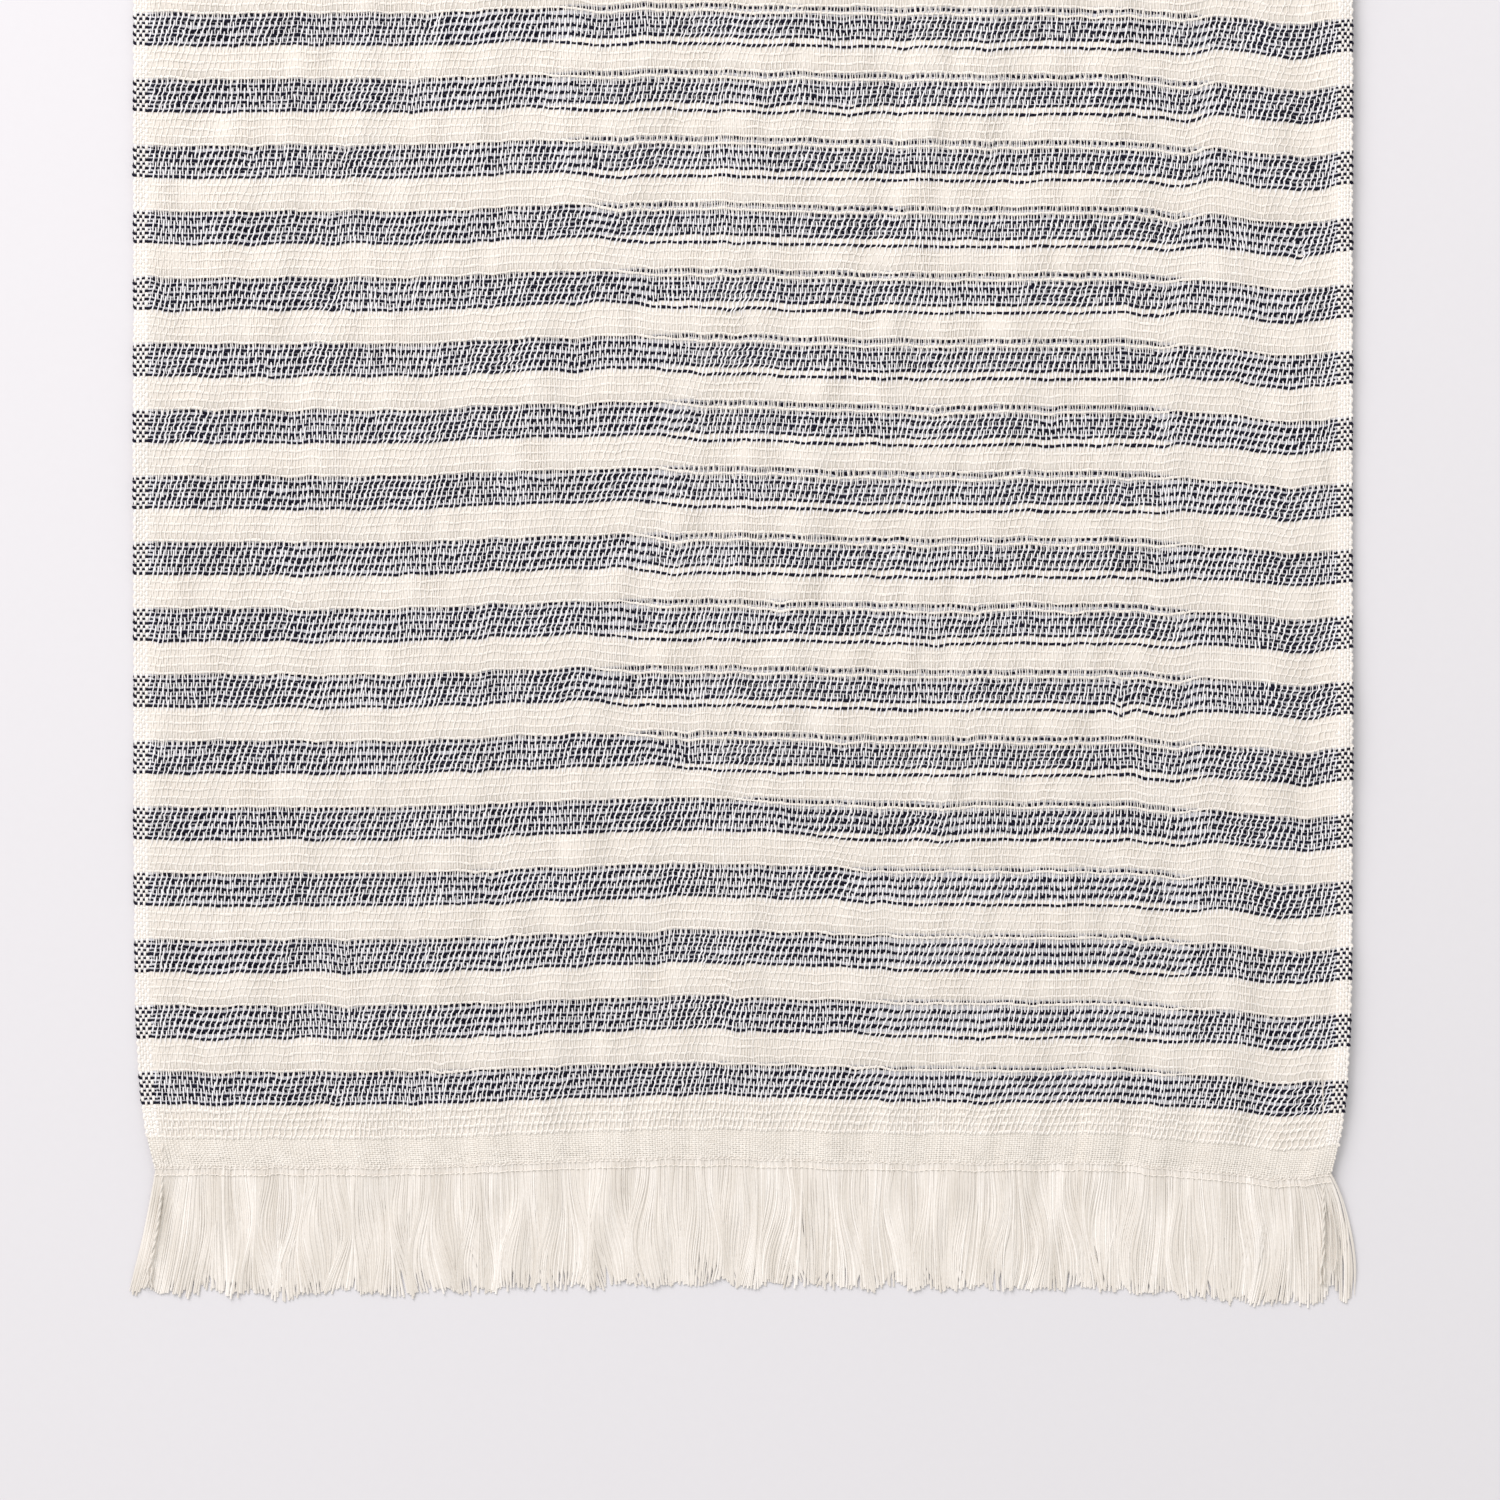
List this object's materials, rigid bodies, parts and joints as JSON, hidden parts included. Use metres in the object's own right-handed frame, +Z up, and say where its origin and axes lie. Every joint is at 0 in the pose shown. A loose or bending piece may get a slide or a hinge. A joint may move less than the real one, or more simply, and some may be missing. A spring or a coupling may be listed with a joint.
{
  "type": "bath mat",
  "caption": "Flat-woven cotton bath mat, striped across its width in dark navy and cream, with plain selvedges, a flat band and a loose yarn fringe at each end.",
  "frame": {"origin": "middle of the mat's underside, on the surface that it lies on", "axes": "+Z up out of the face, +Y along the length towards the rear fringe, +X across the width"},
  "size_m": [0.5, 0.7936, 0.003],
  "materials": {
    "navy_weft_yarn": "dull cotton yarn, dark navy",
    "cream_weft_yarn": "dull cotton yarn, cream",
    "warp_yarn": "fine dull cotton yarn, off-white",
    "back_cloth": "plain cotton cloth, cream",
    "selvedge_yarn": "doubled cotton yarn, off-white",
    "band_yarn": "close plain weave in cotton, cream",
    "fringe_yarn": "loose plied cotton yarn ends, warm cream"
  },
  "bodies": {
    "root": {"back_cloth": "back_cloth", "lower_warp": "warp_yarn", "upper_warp": "warp_yarn", "left_selvedge": "selvedge_yarn", "right_selvedge": "selvedge_yarn", "front_end_band": "band_yarn", "rear_end_band": "band_yarn", "front_locking_picks": "fringe_yarn", "rear_locking_picks": "fringe_yarn", "front_fringe": "fringe_yarn", "rear_fringe": "fringe_yarn", "navy_weft_01": "navy_weft_yarn", "navy_weft_02": "navy_weft_yarn", "navy_weft_03": "navy_weft_yarn", "navy_weft_04": "navy_weft_yarn", "navy_weft_05": "navy_weft_yarn", "navy_weft_06": "navy_weft_yarn", "navy_weft_07": "navy_weft_yarn", "navy_weft_08": "navy_weft_yarn", "navy_weft_09": "navy_weft_yarn", "navy_weft_10": "navy_weft_yarn", "navy_weft_11": "navy_weft_yarn", "navy_weft_12": "navy_weft_yarn", "navy_weft_13": "navy_weft_yarn", "navy_weft_14": "navy_weft_yarn", "navy_weft_15": "navy_weft_yarn", "navy_weft_16": "navy_weft_yarn", "navy_weft_17": "navy_weft_yarn", "navy_weft_18": "navy_weft_yarn", "navy_weft_19": "navy_weft_yarn", "navy_weft_20": "navy_weft_yarn", "navy_weft_21": "navy_weft_yarn", "navy_weft_22": "navy_weft_yarn", "navy_weft_23": "navy_weft_yarn", "navy_weft_24": "navy_weft_yarn", "cream_weft_01": "cream_weft_yarn", "cream_weft_02": "cream_weft_yarn", "cream_weft_03": "cream_weft_yarn", "cream_weft_04": "cream_weft_yarn", "cream_weft_05": "cream_weft_yarn", "cream_weft_06": "cream_weft_yarn", "cream_weft_07": "cream_weft_yarn", "cream_weft_08": "cream_weft_yarn", "cream_weft_09": "cream_weft_yarn", "cream_weft_10": "cream_weft_yarn", "cream_weft_11": "cream_weft_yarn", "cream_weft_12": "cream_weft_yarn", "cream_weft_13": "cream_weft_yarn", "cream_weft_14": "cream_weft_yarn", "cream_weft_15": "cream_weft_yarn", "cream_weft_16": "cream_weft_yarn", "cream_weft_17": "cream_weft_yarn", "cream_weft_18": "cream_weft_yarn", "cream_weft_19": "cream_weft_yarn", "cream_weft_20": "cream_weft_yarn", "cream_weft_21": "cream_weft_yarn", "cream_weft_22": "cream_weft_yarn", "cream_weft_23": "cream_weft_yarn", "cream_weft_24": "cream_weft_yarn", "cream_weft_25": "cream_weft_yarn"}
  },
  "joints": []
}
